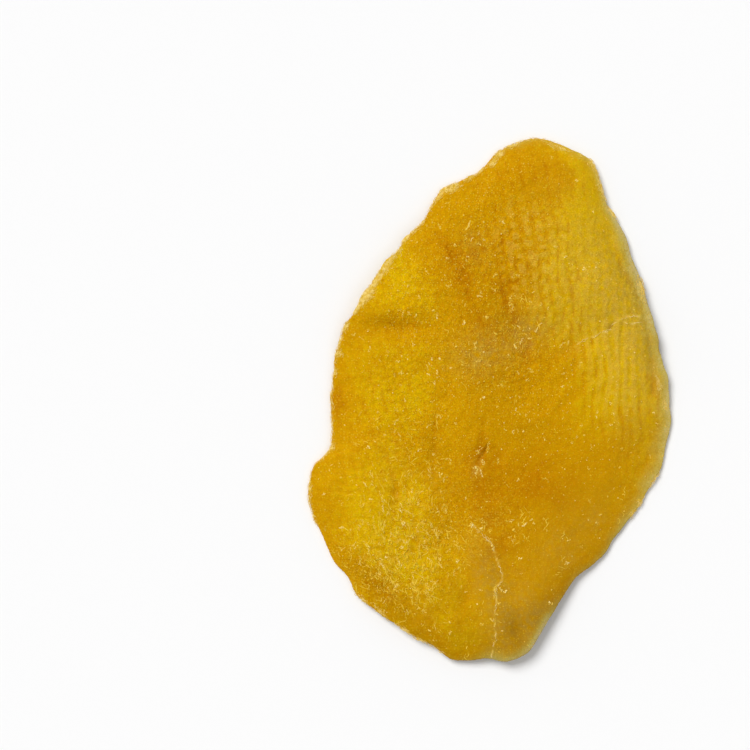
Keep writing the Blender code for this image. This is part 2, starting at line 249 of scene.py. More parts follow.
# The largest pale crumbs
MARKS = [
    (-12.8, 43.2, -65, 0.9, 0.25), (-5.2, 43.6, 68, 0.9, 0.3), (-5.8, 42.5, 60, 0.55, 0.4),
    (-4.6, 39.8, 60, 0.7, 0.28), (-8.9, 38.3, 80, 0.5, 0.38), (1.1, 31.1, 30, 0.75, 0.4),
    (21.4, 54.5, 0, 0.45, 0.4), (23.3, 32.3, 0, 0.55, 0.45), (18.6, 35.5, 0, 0.42, 0.42),
    (15.4, 60.3, 60, 0.55, 0.35), (-20.3, 21.3, -60, 0.7, 0.42), (-18.7, 20.6, 0, 0.47, 0.42),
    (-13.3, 20.8, 80, 0.82, 0.3), (-23.1, 9.6, -10, 0.6, 0.35), (-21.9, 6.7, 90, 0.6, 0.4),
    (-3.1, 29, 0, 0.47, 0.42), (-2.9, 25.6, 0, 0.7, 0.25), (-3.9, 12.8, -70, 0.55, 0.33),
    (-13.1, 6.7, 85, 0.65, 0.35), (-13.3, -3.9, 80, 0.55, 0.35), (-6.7, 19, 70, 0.65, 0.35),
    (6.2, 13.1, -75, 0.75, 0.55), (7.6, 14.5, 65, 0.88, 0.23), (11.9, 18.1, 58, 1.25, 0.25),
    (0.8, 27.2, -35, 0.8, 0.23), (-30.2, -11.8, -45, 0.55, 0.42), (-29.8, -18.2, -80, 0.7, 0.25),
    (-17.6, -12.3, 0, 0.6, 0.45), (-12.4, -18.7, 80, 0.7, 0.45), (-17.1, -22.8, 10, 0.6, 0.3),
    (-29.6, -24.8, 10, 0.6, 0.33), (-29.4, -20.7, -75, 0.75, 0.28), (-26.9, -24.9, -75, 0.88, 0.25),
    (-26.7, -26.9, -80, 0.88, 0.2), (-22.4, -27.5, -55, 0.75, 0.33), (-21.6, -30.7, 10, 0.6, 0.38),
    (-20.3, -31.4, -70, 0.88, 0.2), (-19.3, -34, -60, 0.6, 0.33), (-24.9, -33.7, 80, 1.12, 0.2),
    (-33.9, -36.4, 80, 0.8, 0.4), (-37.2, -31.9, 20, 0.6, 0.33), (-4.9, -31.2, 60, 0.5, 0.42),
    (-3.9, -16.7, -20, 0.55, 0.38), (-3.6, -17.7, 70, 0.9, 0.3), (-3.2, -12.9, -50, 0.65, 0.33),
    (-26.7, -41.2, -50, 0.75, 0.3), (-25.7, -39, 20, 0.62, 0.35), (-23.3, -39.3, -50, 0.62, 0.3),
    (-22.4, -40.9, -75, 0.6, 0.4), (-22.1, -36.7, 30, 0.55, 0.33), (-16.1, -41.8, 10, 0.55, 0.33),
    (-14.6, -46.7, 30, 0.5, 0.35), (-15.2, -57.5, -60, 0.47, 0.38), (0.6, -36.4, -60, 0.8, 0.42),
    (1.3, -47.2, 70, 0.75, 0.28), (2.4, -46.9, -60, 0.75, 0.3), (7.2, -39.3, 0, 0.55, 0.4),
    (14.7, -50.7, -60, 0.65, 0.4), (-8.2, -40, 20, 0.6, 0.33), (-0.7, -11.7, 80, 1.5, 0.35),
    (-2.9, -12.7, 50, 1.25, 0.17), (-1.9, -15.5, -50, 0.75, 0.33), (-3.2, -16.7, -30, 0.6, 0.25),
    (-2.4, -18.2, -70, 1, 0.22), (6.7, -19.9, 30, 0.55, 0.35), (26.6, -30.7, -20, 0.5, 0.35),
    (5.1, -29.9, 20, 0.75, 0.23), (8.3, -30.9, 40, 0.88, 0.33), (-2.4, -31.9, 60, 0.5, 0.35),
    (1, -46.6, 60, 0.9, 0.32), (3.6, -47.6, 20, 0.6, 0.38), (0.8, -48.4, 80, 0.7, 0.28),
    (2, -50.4, 0, 0.45, 0.4), (1.4, -53.2, 0, 0.55, 0.42), (-2.2, -55.9, 20, 0.6, 0.4),
    (1, -55.8, 80, 0.6, 0.38),
]

# Loose fibres: density
FIBROUS = [
    (-27, -38, 20, 12, 8, 0.55), (-17, -40, 90, 11, 7, 1), (-20, -50, -40, 12, 5, 0.4),
    (-25, -25, 90, 13, 6, 0.4), (-14, -24, 90, 10, 8, 0.35), (0, 0, 90, 60, 40, 0.012),
    (-1, -31, 30, 6, 4, 0.4), (4, 18, 60, 8, 5, 0.25), (8, -31, 30, 5, 2.5, 0.3),
]

# Sugar grains: density
SUGARED = [
    (0, 0, 90, 90, 70, 0.24), (2, 22, 70, 24, 16, 0.5), (-8, 40, 60, 14, 9, 0.5),
    (10, -4, 20, 14, 10, 0.3), (26, -14, 10, 9, 5, 0.55), (-20, -45, 20, 20, 12, 0.6),
]

# How many of each there are, a strand's sides, and how many places are drawn for each that is kept
FIBRE_TUFTS = 175
FLAKES = 260
SUGAR_GRAINS = 1000
SMALL_CRUMBS = 165
FRAY_STRANDS = 2800
STRAND_SIDES = 4
DRAWN_FOR_EACH = 12

# Headings that most fibres take, in degrees, and the share of the reach that loose things keep within
FIBRE_HEADING = -68
LOOSE_REACH = 0.985

# Share of the fibres that are long ones
LONG_SHARE = 0.18

# The edge's fine fray: numbers of waves round the outline
FRAY_WAVES = range(110, 520, 7)
FRAY_SEED = 19

# Waves in each random field, and lumps of both faces: height, pitch, seed. Small ones grow with the frost.
FIELD_WAVES = 26
UPPER_LUMPS = [(0.1, 14, 31), (0.06, 6, 32)]
SMALL_LUMPS = [(0.045, 2.6, 33), (0.032, 1.3, 34)]
LOWER_LUMPS = [(0.12, 12, 51), (0.06, 5, 52), (0.03, 2.2, 53)]

# Seeds of the random fields, and of the pieces that are drawn at random
UPPER_PRINT = 41
LOWER_PRINT = 61
EDGE_SEED = 71
PALENESS_SEED = 72
SWAY_SEED = 81
FIBRE_SEED = 101
GRAIN_SEED = 202
FRAY_STRAND_SEED = 303
THREAD_SEED = 404
CRUMB_SEED = 505


def smooth_closed(knots, steps):
    """A smooth closed curve through the knots, with the tangents of a non-uniform spline."""
    after = np.roll(knots, -1, axis=0)
    chord = np.linalg.norm(after - knots, axis=1)[:, None]
    before_chord = np.roll(chord, 1, axis=0)
    slope = (after - knots) / chord
    before_slope = np.roll(slope, 1, axis=0)
    tangent = (slope * before_chord + before_slope * chord) / (chord + before_chord)
    after_tangent = np.roll(tangent, -1, axis=0)
    t = (np.arange(steps) / steps)[:, None, None]
    curve = (
        (2 * t**3 - 3 * t**2 + 1) * knots
        + (t**3 - 2 * t**2 + t) * chord * tangent
        + (3 * t**2 - 2 * t**3) * after
        + (t**3 - t**2) * chord * after_tangent
    )
    return curve.transpose(1, 0, 2).reshape(-1, 2)


def seeded_waves(heading, seed, numbers, falling):
    """Sum of waves round the outline, each of a random phase and of a random size times (first number /
    its own number) ** falling."""
    draw = np.random.default_rng(seed)
    total = np.zeros_like(heading)
    for number in numbers:
        size = draw.normal() * (numbers[0] / number) ** falling
        total += size * np.cos(number * heading + draw.uniform(0, TURN))
    return total


def ragged(heading):
    """Small unevenness of the cut edge."""
    return RAGGED_HEIGHT * seeded_waves(heading, RAGGED_SEED, RAGGED_WAVES, 0.8) / 2.2


def outline_table():
    """Headings from the origin, ascending, and the reach to the cut edge along each."""
    points = smooth_closed(np.array(OUTLINE) * (WIDTH / 2, LENGTH / 2), OUTLINE_STEPS)
    heading = np.arctan2(points[:, 1], points[:, 0])
    points *= (1 + ragged(heading) / np.linalg.norm(points, axis=1))[:, None]
    low, high = points.min(axis=0), points.max(axis=0)
    points = (points - (low + high) / 2) / (high - low) * (WIDTH, LENGTH)
    heading = np.arctan2(points[:, 1], points[:, 0])
    order = np.argsort(heading)
    return heading[order], np.linalg.norm(points, axis=1)[order]


HEADINGS, REACHES = outline_table()


def reach(heading):
    """Distance from the origin to the solid's cut edge, along a heading."""
    return np.interp(heading, HEADINGS, REACHES, period=TURN)


def fray(heading):
    """Uneven bulge of the visible edge, 0.65 to 1: short waves, folded at 0."""
    return 0.65 + 0.35 * np.exp(-np.abs(seeded_waves(heading, FRAY_SEED, FRAY_WAVES, 0.5)) / 3)


def inwards(x, y):
    """Distance left to the edge, along the line from the origin."""
    return reach(np.arctan2(y, x)) - np.hypot(x, y)


def plan_grid(columns, rows, inset):
    """A square grid mapped onto the outline less an inset: x = u root(1 - v v / 2), and y likewise."""
    u, v = np.meshgrid(np.linspace(-1, 1, columns + 1), np.linspace(-1, 1, rows + 1))
    across, along = u * np.sqrt(1 - v * v / 2), v * np.sqrt(1 - u * u / 2)
    heading = np.arctan2(along * LENGTH, across * WIDTH)
    out = np.hypot(across, along) * (reach(heading) - inset)
    return out * np.cos(heading), out * np.sin(heading)


def on_ellipse(x, y, centre_x, centre_y, turn, half_length, half_width):
    """The places in an ellipse's own half sizes: along its heading, and aside to the left."""
    angle = math.radians(turn)
    dx, dy = x - centre_x, y - centre_y
    along = dx * math.cos(angle) + dy * math.sin(angle)
    aside = dy * math.cos(angle) - dx * math.sin(angle)
    return along / half_length, aside / half_width


def humps(x, y, table):
    """Sum of smooth humps, each its height times exp of minus the squared distance in half sizes."""
    total = np.zeros_like(x)
    for *ellipse, height in table:
        along, aside = on_ellipse(x, y, *ellipse)
        total += height * np.exp(-(along**2) - aside**2)
    return total


def middle_height(x, y):
    """Height of the middle of the sheet: a low dome, waves that grow towards the rim, and swells."""
    across, along = x / (WIDTH / 2), y / (LENGTH / 2)
    out = np.hypot(across, along)
    heading = np.arctan2(along, across)
    waves = sum(size * np.cos(n * heading - n * math.radians(crest)) for n, size, crest in RIPPLES)
    swells = humps(x, y, [(a * WIDTH / 2, b * LENGTH / 2, *rest) for a, b, *rest in SWELLS])
    dome = DOME_HEIGHT * (1 - out**2)
    return dome + RIPPLE_HEIGHT * out**3 * waves + swells + SLOPE_ACROSS * x + SLOPE_ALONG * y


def thickness(x, y):
    """Thickness of the sheet: from the rim's to the flesh's, on a quarter sine over the taper."""
    growth = np.sin(np.clip(inwards(x, y) / TAPER_WIDTH, 0, 1) * math.pi / 2)
    return RIM_THICKNESS + (FLESH_THICKNESS - RIM_THICKNESS) * growth


def unsettled_lower(x, y):
    """Height of the lower face before the sheet settles."""
    return middle_height(x, y) - thickness(x, y) / 2


LOW_POINT = unsettled_lower(*plan_grid(SOLID_COLUMNS, SOLID_ROWS, 0)).min()


def lower_height(x, y):
    """Height of the lower face, flattened with a smooth blend where it would reach below Z = 0."""
    height = unsettled_lower(x, y) - LOW_POINT - PRESSED_DEPTH
    blended = (height + SETTLE_BLEND) ** 2 / (4 * SETTLE_BLEND)
    return np.where(height > SETTLE_BLEND, height, np.where(height > -SETTLE_BLEND, blended, 0.0))


def rough(x, y, pitch, seed):
    """Random smooth field of about -1 to 1: a sum of plane waves of near one pitch, heading any way."""
    draw = np.random.default_rng(seed)
    total = np.zeros_like(x)
    for _ in range(FIELD_WAVES):
        heading = draw.uniform(0, TURN)
        number = TURN / (pitch * draw.uniform(0.75, 1.5))
        phase = draw.uniform(0, TURN)
        total += np.cos(number * (x * math.cos(heading) + y * math.sin(heading)) + phase)
    return total / math.sqrt(FIELD_WAVES)


def uneven(x, y, table):
    """Sum of random fields, each of a height, pitch and seed."""
    return sum(height * rough(x, y, pitch, seed) for height, pitch, seed in table)


def smooth_open(points, steps):
    """A smooth open curve through the points, by the uniform cubic through four."""
    knots = np.array(points, float)
    knots = np.vstack([2 * knots[0] - knots[1], knots, 2 * knots[-1] - knots[-2]])
    a, b, c, d = knots[:-3], knots[1:-2], knots[2:-1], knots[3:]
    t = (np.arange(steps) / steps)[:, None, None]
    curve = 0.5 * (2 * b + (c - a) * t + (2 * a - 5 * b + 4 * c - d) * t**2 + (3 * b - a - 3 * c + d) * t**3)
    return np.vstack([curve.transpose(1, 0, 2).reshape(-1, knots.shape[1]), knots[-2]])


def crease_profile(x, y, points, half_width):
    """1 on the crease's line, falling as exp of minus the squared distance over its half width."""
    line = smooth_open(points, 10)
    spots = np.stack([x, y], axis=-1)
    low, high = line.min(axis=0) - 4 * half_width, line.max(axis=0) + 4 * half_width
    close = ((spots > low) & (spots < high)).all(axis=-1)
    spots = spots[close]
    near = np.full(len(spots), np.inf)
    for start, end in zip(line[:-1], line[1:]):
        run = end - start
        along = np.clip((spots - start) @ run / (run @ run), 0, 1)
        gap = spots - start - along[:, None] * run
        near = np.minimum(near, (gap**2).sum(axis=1))
    profile = np.zeros(x.shape)
    profile[close] = np.exp(-near / half_width**2)
    return profile


def falling(x, middle, width):
    """From 1 on the left to 0 on the right: one over one plus exp of the distance past the middle."""
    return 1 / (1 + np.exp((x - middle) / width))


def mesh_print(x, y, seed):
    """Print of the drying mesh, 0 to 1: rounded cells between narrow grooves, whose columns lean to the
    left at the top left. A groove is the fourth power of a raised cosine."""
    lean = MESH_LEAN * (y - 30) * falling(x, 12, 7)
    column = x + lean + 0.4 * rough(x, y, 13, seed) + 0.12 * rough(x, y, 4, seed + 3)
    row = y + 0.5 * rough(x, y, 9, seed + 1) + 0.9 * np.sin(math.pi * column / MESH_COLUMN_PITCH)
    column_groove = (0.5 + 0.5 * np.cos(TURN * column / MESH_COLUMN_PITCH)) ** 4
    row_groove = (0.5 + 0.5 * np.cos(TURN * row / MESH_ROW_PITCH)) ** 4
    patchy = np.clip(0.65 + 0.6 * rough(x, y, 4.2, seed + 2), 0, 1)
    rows = 0.55 * falling(x, 18, 4)
    return 1 - patchy * (column_groove + rows * row_groove * (1 - column_groove))


def print_share(x, y):
    """How strongly the upper face keeps the print of the mesh, 0 to 1."""
    return np.clip(humps(x, y, PRINTED), 0, 1) * (1 - 0.5 * np.clip(humps(x, y, SATIN), 0, 1))


def pleats(x, y):
    """Rows of small parallel folds: each a cosine across its heading, faded out over its ellipse."""
    total = np.zeros_like(x)
    sway = 0.45 * rough(x, y, 8, SWAY_SEED)
    for *ellipse, pitch, height in PLEATS:
        along, aside = on_ellipse(x, y, *ellipse)
        share = np.exp(-(along**2) - aside**2)
        total += height * share * np.cos(TURN * (aside * ellipse[-1] + sway) / pitch)
    return total


def folds(x, y):
    """Folds, creases and pleats of the upper face together."""
    total = humps(x, y, FOLDS) + pleats(x, y)
    for half_width, rise, _, points in CREASES.values():
        total += rise * crease_profile(x, y, points, half_width)
    return total


def frost(x, y):
    """How frosted and grained the upper face is: 0.55 in general, more or less in patches."""
    return np.clip(0.55 + humps(x, y, FROSTED), 0.1, 1.8)


def upper_relief(x, y):
    """Fine relief of the upper face: the print where it is kept, folds, and lumps of four sizes."""
    small = uneven(x, y, SMALL_LUMPS) * frost(x, y)
    cells = MESH_PRINT_HEIGHT * (mesh_print(x, y, UPPER_PRINT) - PRINT_LEVEL) * print_share(x, y)
    return cells + uneven(x, y, UPPER_LUMPS) + small + folds(x, y)


def lower_relief(x, y):
    """Fine relief of the lower face, which lay on the mesh: the whole print and lumps of three sizes."""
    cells = 1.2 * MESH_PRINT_HEIGHT * (mesh_print(x, y, LOWER_PRINT) - PRINT_LEVEL)
    return cells + uneven(x, y, LOWER_LUMPS)


def fade(x, y):
    """Share of the fine relief that is left near the edge: it grows from 0.3 to 1 over 2 mm."""
    return 0.3 + 0.7 * np.clip(inwards(x, y) / 2, 0, 1)


def top(x, y):
    """Height of the visible upper face."""
    return lower_height(x, y) + thickness(x, y) + upper_relief(x, y) * fade(x, y)


def bottom(x, y):
    """Height of the visible lower face, which never reaches below Z = 0."""
    solid = lower_height(x, y)
    return np.maximum(solid + lower_relief(x, y) * fade(x, y) * np.clip(solid / 0.5, 0.1, 1), 0.0)


def ring(grid):
    """The values on a grid's border, once round against the clock from the first corner."""
    return np.concatenate([grid[0, :-1], grid[:-1, -1], grid[-1, :0:-1], grid[:0:-1, 0]])


def grid_triangles(index, flip):
    """Both triangles of each quad of an index grid, wound up or down."""
    a, b, c, d = index[:-1, :-1], index[:-1, 1:], index[1:, 1:], index[1:, :-1]
    faces = np.stack([a, b, c, a, c, d], axis=-1).reshape(-1, 3)
    return faces[:, ::-1] if flip else faces


def add_object(name, data):
    """A new object of the scene."""
    made = bpy.data.objects.new(name, data)
    bpy.context.scene.collection.objects.link(made)
    return made


def make_piece(name, vertices, faces, material, attributes=None):
    """A smooth-shaded mesh object from arrays in millimetres, with its point attributes."""
    mesh = bpy.data.meshes.new(name)
    mesh.from_pydata((vertices * MM).tolist(), [], faces.tolist())
    for key, values in (attributes or {}).items():
        mesh.attributes.new(key, "FLOAT", "POINT").data.foreach_set("value", values.astype(np.float32))
    mesh.shade_smooth()
    mesh.materials.append(material)
    piece = add_object(name, mesh)
    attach(piece, "root")
    return piece


class Socket:
    """A node's output. Each arithmetic operator on it adds one Math node to its material."""

    def __init__(self, paint, socket):
        self.paint = paint
        self.socket = socket

    def math(self, operation, *values):
        return self.paint.node("ShaderNodeMath", {"operation": operation}, dict(enumerate(values)))

    def __add__(self, other):
        return self.math("ADD", self, other)

    def __sub__(self, other):
        return self.math("SUBTRACT", self, other)

    def __rsub__(self, other):
        return self.math("SUBTRACT", other, self)

    def __mul__(self, other):
        return self.math("MULTIPLY", self, other)

    def between(self, low, high):
        """0 at low and below, 1 at high and above, smooth in between."""
        settings = {"interpolation_type": "SMOOTHSTEP"}
        values = {"Value": self, "From Min": low, "From Max": high}
        return self.paint.node("ShaderNodeMapRange", settings, values)

    __radd__ = __add__
    __rmul__ = __mul__


class Paint:
    """The nodes of a new material or world, whose shader has its constants set."""

    def __init__(self, block, shader="Principled BSDF", **constants):
        block.use_nodes = True
        self.block = block
        self.tree = block.node_tree
        self.shader = self.tree.nodes[shader]
        self.finish(**constants)

    def finish(self, **values):
        """Sets or links the shader's sockets, and returns the material or world."""
        for key, value in values.items():
            self.put(self.shader.inputs[key.replace("_", " ")], value)
        return self.block

    def put(self, socket, value):
        """Sets a socket to a number or colour, or links it to another node's output."""
        if isinstance(value, Socket):
            self.tree.links.new(value.socket, socket)
        else:
            socket.default_value = value

    def node(self, kind, settings, values, output=0):
        """Adds a node, sets its settings and then its sockets, and returns one of its outputs."""
        made = self.tree.nodes.new(kind)
        for key, value in settings.items():
            setattr(made, key, value)
        for key, value in values.items():
            self.put(made.inputs[key], value)
        return Socket(self, made.outputs[output])

    def vector(self, operation, values):
        """Arithmetic on colours or places."""
        return self.node("ShaderNodeVectorMath", {"operation": operation}, values)

    def place(self):
        """The point's place on the object, in metres."""
        return self.node("ShaderNodeTexCoord", {}, {}, "Object")

    def attribute(self, name):
        """One of the mesh's own point values."""
        return self.node("ShaderNodeAttribute", {"attribute_name": name}, {}, "Fac")

    def noise(self, pitch, detail=2.0, roughness=0.5, stretch=None):
        """Cloudy noise of 0 to 1 whose blotches are about one pitch, in millimetres, apart."""
        place = self.place()
        if stretch is not None:
            place = self.node("ShaderNodeMapping", {}, {"Vector": place, "Scale": stretch})
        values = {"Vector": place, "Scale": 1 / (pitch * MM), "Detail": detail, "Roughness": roughness}
        return self.node("ShaderNodeTexNoise", {}, values)

    def spots(self, pitch, radius, least, warp):
        """Spots about one pitch apart, pushed about by a warp: 1 in the middle and 0 from their radius out.
        Only those whose own random value is above the least one show, the higher the brighter."""
        place = self.place()
        values = {"Vector": place, "Scale": 1 / (1.3 * pitch * MM)}
        push = self.node("ShaderNodeTexNoise", {}, values, "Color")
        push = self.vector("SUBTRACT", {0: push, 1: (0.5,) * 3})
        place = self.vector("MULTIPLY_ADD", {0: push, 1: (warp * MM,) * 3, 2: place})
        values = {"Vector": place, "Scale": 1 / (pitch * MM)}
        near = self.node("ShaderNodeTexVoronoi", {"voronoi_dimensions": "2D"}, values, "Distance")
        own = Socket(self, near.socket.node.outputs["Color"])
        return near.between(radius / pitch, 0.35 * radius / pitch) * own.between(least, least + 0.35)

    def mix(self, factor, first, second):
        """A colour between two."""
        settings = {"data_type": "RGBA", "clamp_factor": True}
        return self.node("ShaderNodeMix", settings, {0: factor, 6: first, 7: second}, 2)


def rgb(red, green, blue):
    """An opaque colour."""
    return (red, green, blue, 1.0)


ORANGE = rgb(0.475, 0.185, 0.0002)
GOLDEN = rgb(0.565, 0.278, 0.0004)
YELLOW = rgb(0.640, 0.388, 0.0010)
DUST = rgb(0.420, 0.285, 0.0600)
FROST = rgb(0.820, 0.545, 0.0360)
GLINT = rgb(0.930, 0.680, 0.1500)
FIBRE_PALE = rgb(0.870, 0.620, 0.1300)
EDGE_STRAW = rgb(0.720, 0.465, 0.0600)
EDGE_WHITE = rgb(0.860, 0.620, 0.2000)
CELL_PALE = rgb(0.680, 0.420, 0.0800)
HAZE = rgb(0.690, 0.430, 0.0300)
EDGE_LIT_THROUGH = rgb(0.565, 0.438, 0.0780)
EDGE_LIT_THROUGH_GREY = rgb(0.660, 0.540, 0.2500)
FIBRE_DEEP = rgb(0.730, 0.460, 0.0150)
FIBRE_LIGHT = rgb(0.900, 0.650, 0.0720)
FRAY_DEEP = rgb(0.720, 0.460, 0.0300)
FRAY_LIGHT = rgb(0.880, 0.670, 0.2000)
THREAD_DEEP = rgb(0.780, 0.570, 0.1400)
THREAD_LIGHT = rgb(0.900, 0.750, 0.3800)
SUGAR_YELLOW = rgb(0.690, 0.420, 0.0120)
SUGAR_CREAM = rgb(0.800, 0.550, 0.0850)
SUGAR_PALE = rgb(0.920, 0.740, 0.2800)
FLOOR_GREY = rgb(0.910, 0.910, 0.9100)
WHITE = rgb(1.0, 1.0, 1.0)

# How much of the grain each of red, green and blue takes, and the bump's height in metres
GRAIN_SHARES = (0.92, 1.36, 4.0)
BUMP_HEIGHT = 0.16 * MM


def flesh_paint():
    """Golden flesh: tone, dust and edge from the mesh's values, mottled, grained and frosted by noise,
    with painted shade, painted glints and painted light through the thin edge.
    """
    paint = Paint(
        bpy.data.materials.new("dried_flesh_surface"),
        Subsurface_Weight=0.22,
        Subsurface_Radius=(1.0, 0.45, 0.1),
        Subsurface_Scale=0.7 * MM,
        Specular_IOR_Level=0.08,
        Specular_Tint=rgb(1.0, 0.7, 0.06),
        Coat_Roughness=0.25,
        Coat_IOR=1.4,
    )
    satin = paint.attribute("satin")
    fibrous = paint.attribute("fibrous")
    frosty = paint.attribute("frost")
    groove = paint.attribute("groove")
    # The print's grooves deepen the tone: partly the print's own colour, partly painted shade in the grooves
    tone = paint.attribute("tone") * 0.5 + 0.55 - groove * 0.52
    tone = tone + (paint.noise(7.0, 3.0) - 0.5) * 0.4 + (paint.noise(1.6) - 0.5) * 0.6 * frosty
    colour = paint.mix(tone.between(0.0, 0.5), ORANGE, GOLDEN)
    colour = paint.mix(tone.between(0.5, 1.0), colour, YELLOW)
    dust = paint.attribute("dust") * paint.noise(1.4, 3.0).between(0.25, 0.75)
    colour = paint.mix(dust * 0.5, colour, DUST)
    streaks = paint.noise(0.55, 2.0, 0.6)
    # The thin edge's paler, greyer bands: partly its own colour, partly painted light shining through it
    lit_through = paint.attribute("lit_through") + (streaks - 0.5) * 0.16 + (paint.noise(2.4) - 0.5) * 0.2
    colour = paint.mix(lit_through.between(0.05, 0.7) * 0.85, colour, EDGE_LIT_THROUGH)
    colour = paint.mix(lit_through.between(0.4, 1.1) * 0.9, colour, EDGE_LIT_THROUGH_GREY)
    edge = paint.attribute("edge") * streaks.between(0.3, 0.68)
    colour = paint.mix(edge.between(0.05, 0.6) * 0.75, colour, EDGE_STRAW)
    colour = paint.mix(edge.between(0.45, 1.00) * 0.85, colour, EDGE_WHITE)
    even = frosty.math("MINIMUM", frosty, 1.0)
    # Paler tops of the print's cells: partly their own colour, partly painted light on the raised cells
    pale_lit_cell_tops = (0.0 - groove).between(0.1, 0.25)
    colour = paint.mix(pale_lit_cell_tops * 0.22, colour, CELL_PALE)
    grain = paint.noise(0.33, 2.0, 0.75)
    mottle = paint.noise(1.1, 1.0)
    haze = paint.noise(1.5).between(0.46, 0.7) * fibrous
    colour = paint.mix(haze * 0.35, colour, HAZE)
    fine_spots = paint.spots(0.66, 0.22, 0.4, 0.3) * frosty
    glint_spots = paint.spots(1.2, 0.27, 0.74, 0.45) * (0.45 + frosty * 0.55)
    curls = paint.noise(2.3, 1.5, 0.5, (1.5, 0.8, 1.0)) * 2.8
    curls = curls.math("PINGPONG", curls, 0.5).between(0.2, 0.04)
    curls = curls * paint.noise(0.8, 1.0).between(0.44, 0.58) * (0.1 + fibrous * 0.9) * frosty
    speckle = ((grain - 0.5) * 1.02 + (mottle - 0.5) * 0.3) * even
    # Scales the colour by the lighter patches and by the painted shade on the flesh and along the edge
    colour = paint.vector("SCALE", {0: colour, "Scale": 0.97 + paint.attribute("lightness_and_shade")})
    growth = paint.vector("MULTIPLY_ADD", {0: speckle, 1: GRAIN_SHARES, 2: (1.0, 1.0, 1.0)})
    colour = paint.vector("MULTIPLY", {0: colour, 1: growth})
    colour = paint.mix(fine_spots * 0.55, colour, FROST)
    colour = paint.mix(curls * 0.62, colour, FROST)
    # Pale sugar specks, each with a painted glint
    colour = paint.mix(glint_spots * 0.65, colour, GLINT)
    colour = paint.mix(paint.attribute("pale"), colour, FIBRE_PALE)
    height = (grain * 0.7 + fine_spots * 0.5 + mottle * 0.7) * even + glint_spots + curls * 0.9
    relief = {"Height": height, "Distance": BUMP_HEIGHT, "Strength": 1.0}
    return paint.finish(
        Base_Color=colour,
        Roughness=0.6 - 0.06 * satin,
        Coat_Weight=glint_spots * 0.15 + fine_spots * 0.06 + satin * 0.02,
        Normal=paint.node("ShaderNodeBump", {}, relief),
    )


def along_edge(x, y, table):
    """Sum of bands along the edge, each fading out over its half span and inwards over its width."""
    heading = np.degrees(np.arctan2(y, x))
    depth = inwards(x, y) * (1 + 0.10 * rough(x, y, 6.0, EDGE_SEED))
    total = np.zeros_like(x)
    for centre, span, width, strength in table:
        off = (heading - centre + 180) % 360 - 180
        total += strength * np.exp(-((off / span) ** 2)) * np.exp(-np.clip(depth / width, 0, None) ** 1.5)
    return total


def flesh_values(x, y):
    """The upper face's values for the paint."""
    pale = np.zeros_like(x)
    broken = np.clip(0.35 + 0.9 * rough(x, y, 1.6, PALENESS_SEED), 0, 1)
    for half_width, _, paleness, points in CREASES.values():
        if paleness:
            pale += paleness * crease_profile(x, y, points, 0.8 * half_width) * broken
    fold_shading = folds(x, y)
    return {
        # The folds deepen the tone in hollows and lift it on ridges: partly the flesh's own colour, partly
        # painted shade and light
        "tone": humps(x, y, TONES) + 0.9 * fold_shading + 0.8 * np.minimum(fold_shading, 0),
        "dust": np.clip(humps(x, y, DUSTY), 0, 1.4),
        "satin": np.clip(humps(x, y, SATIN), 0, 1),
        # Lighter patches, with painted shade on the flesh and along the edge
        "lightness_and_shade": humps(x, y, LIGHTNESS_AND_SHADE) + along_edge(x, y, EDGE_PAINTED_SHADE),
        "frost": frost(x, y),
        "edge": np.clip(humps(x, y, EDGE_FIBRES), 0, 1.3),
        # The thin edge's see-through bands, partly painted light shining through it
        "lit_through": along_edge(x, y, LIT_THROUGH_BANDS),
        "pale": np.clip(pale, 0, 0.8),
        "fibrous": np.clip(humps(x, y, FIBROUS), 0, 1),
        "groove": (0.75 - mesh_print(x, y, UPPER_PRINT)) * print_share(x, y),
    }


def make_flesh():
    """The sheet: a fine upper grid, a lower one of half its count, and a half round that joins them."""
    upper_x, upper_y = plan_grid(UPPER_COLUMNS, UPPER_ROWS, EDGE_ROUND)
    lower_x, lower_y = upper_x[::2, ::2], upper_y[::2, ::2]
    upper_z, lower_z = top(upper_x, upper_y), bottom(lower_x, lower_y)
    upper_index = np.arange(upper_x.size).reshape(upper_x.shape)
    lower_index = upper_index.size + np.arange(lower_x.size).reshape(lower_x.shape)
    faces = [grid_triangles(upper_index, False), grid_triangles(lower_index, True)]

    start_x, start_y, start_z = ring(upper_x), ring(upper_y), ring(upper_z)
    end_z = bottom(start_x, start_y)
    out_x, out_y = start_x / np.hypot(start_x, start_y), start_y / np.hypot(start_x, start_y)
    turn = (np.arange(1, EDGE_ROWS) / EDGE_ROWS * math.pi)[:, None]
    bulge = EDGE_ROUND * np.sin(turn) ** 0.8 * fray(np.arctan2(start_y, start_x))
    edge_x = start_x + out_x * bulge
    edge_y = start_y + out_y * bulge
    edge_z = (start_z + end_z) / 2 + (start_z - end_z) / 2 * np.cos(turn)
    edge_index = upper_index.size + lower_index.size + np.arange(edge_x.size).reshape(edge_x.shape)
    walls = np.vstack([ring(upper_index), edge_index])
    faces.append(grid_triangles(np.column_stack([walls, walls[:, 0]]), True))
    left, middle, right = walls[-1, ::2], walls[-1, 1::2], np.roll(walls[-1], -2)[::2]
    low, low_after = ring(lower_index), np.roll(ring(lower_index), -1)
    for corners in ((left, low, middle), (middle, low, low_after), (middle, low_after, right)):
        faces.append(np.stack(corners, axis=-1))

    grids = [(upper_x, upper_y, upper_z), (lower_x, lower_y, lower_z), (edge_x, edge_y, edge_z)]
    places = np.concatenate([np.stack(grid, axis=-1).reshape(-1, 3) for grid in grids])
    values = flesh_values(places[:, 0], places[:, 1])
    piece = make_piece("flesh", places, np.concatenate(faces), flesh_paint(), values)
    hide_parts("mango_slice")


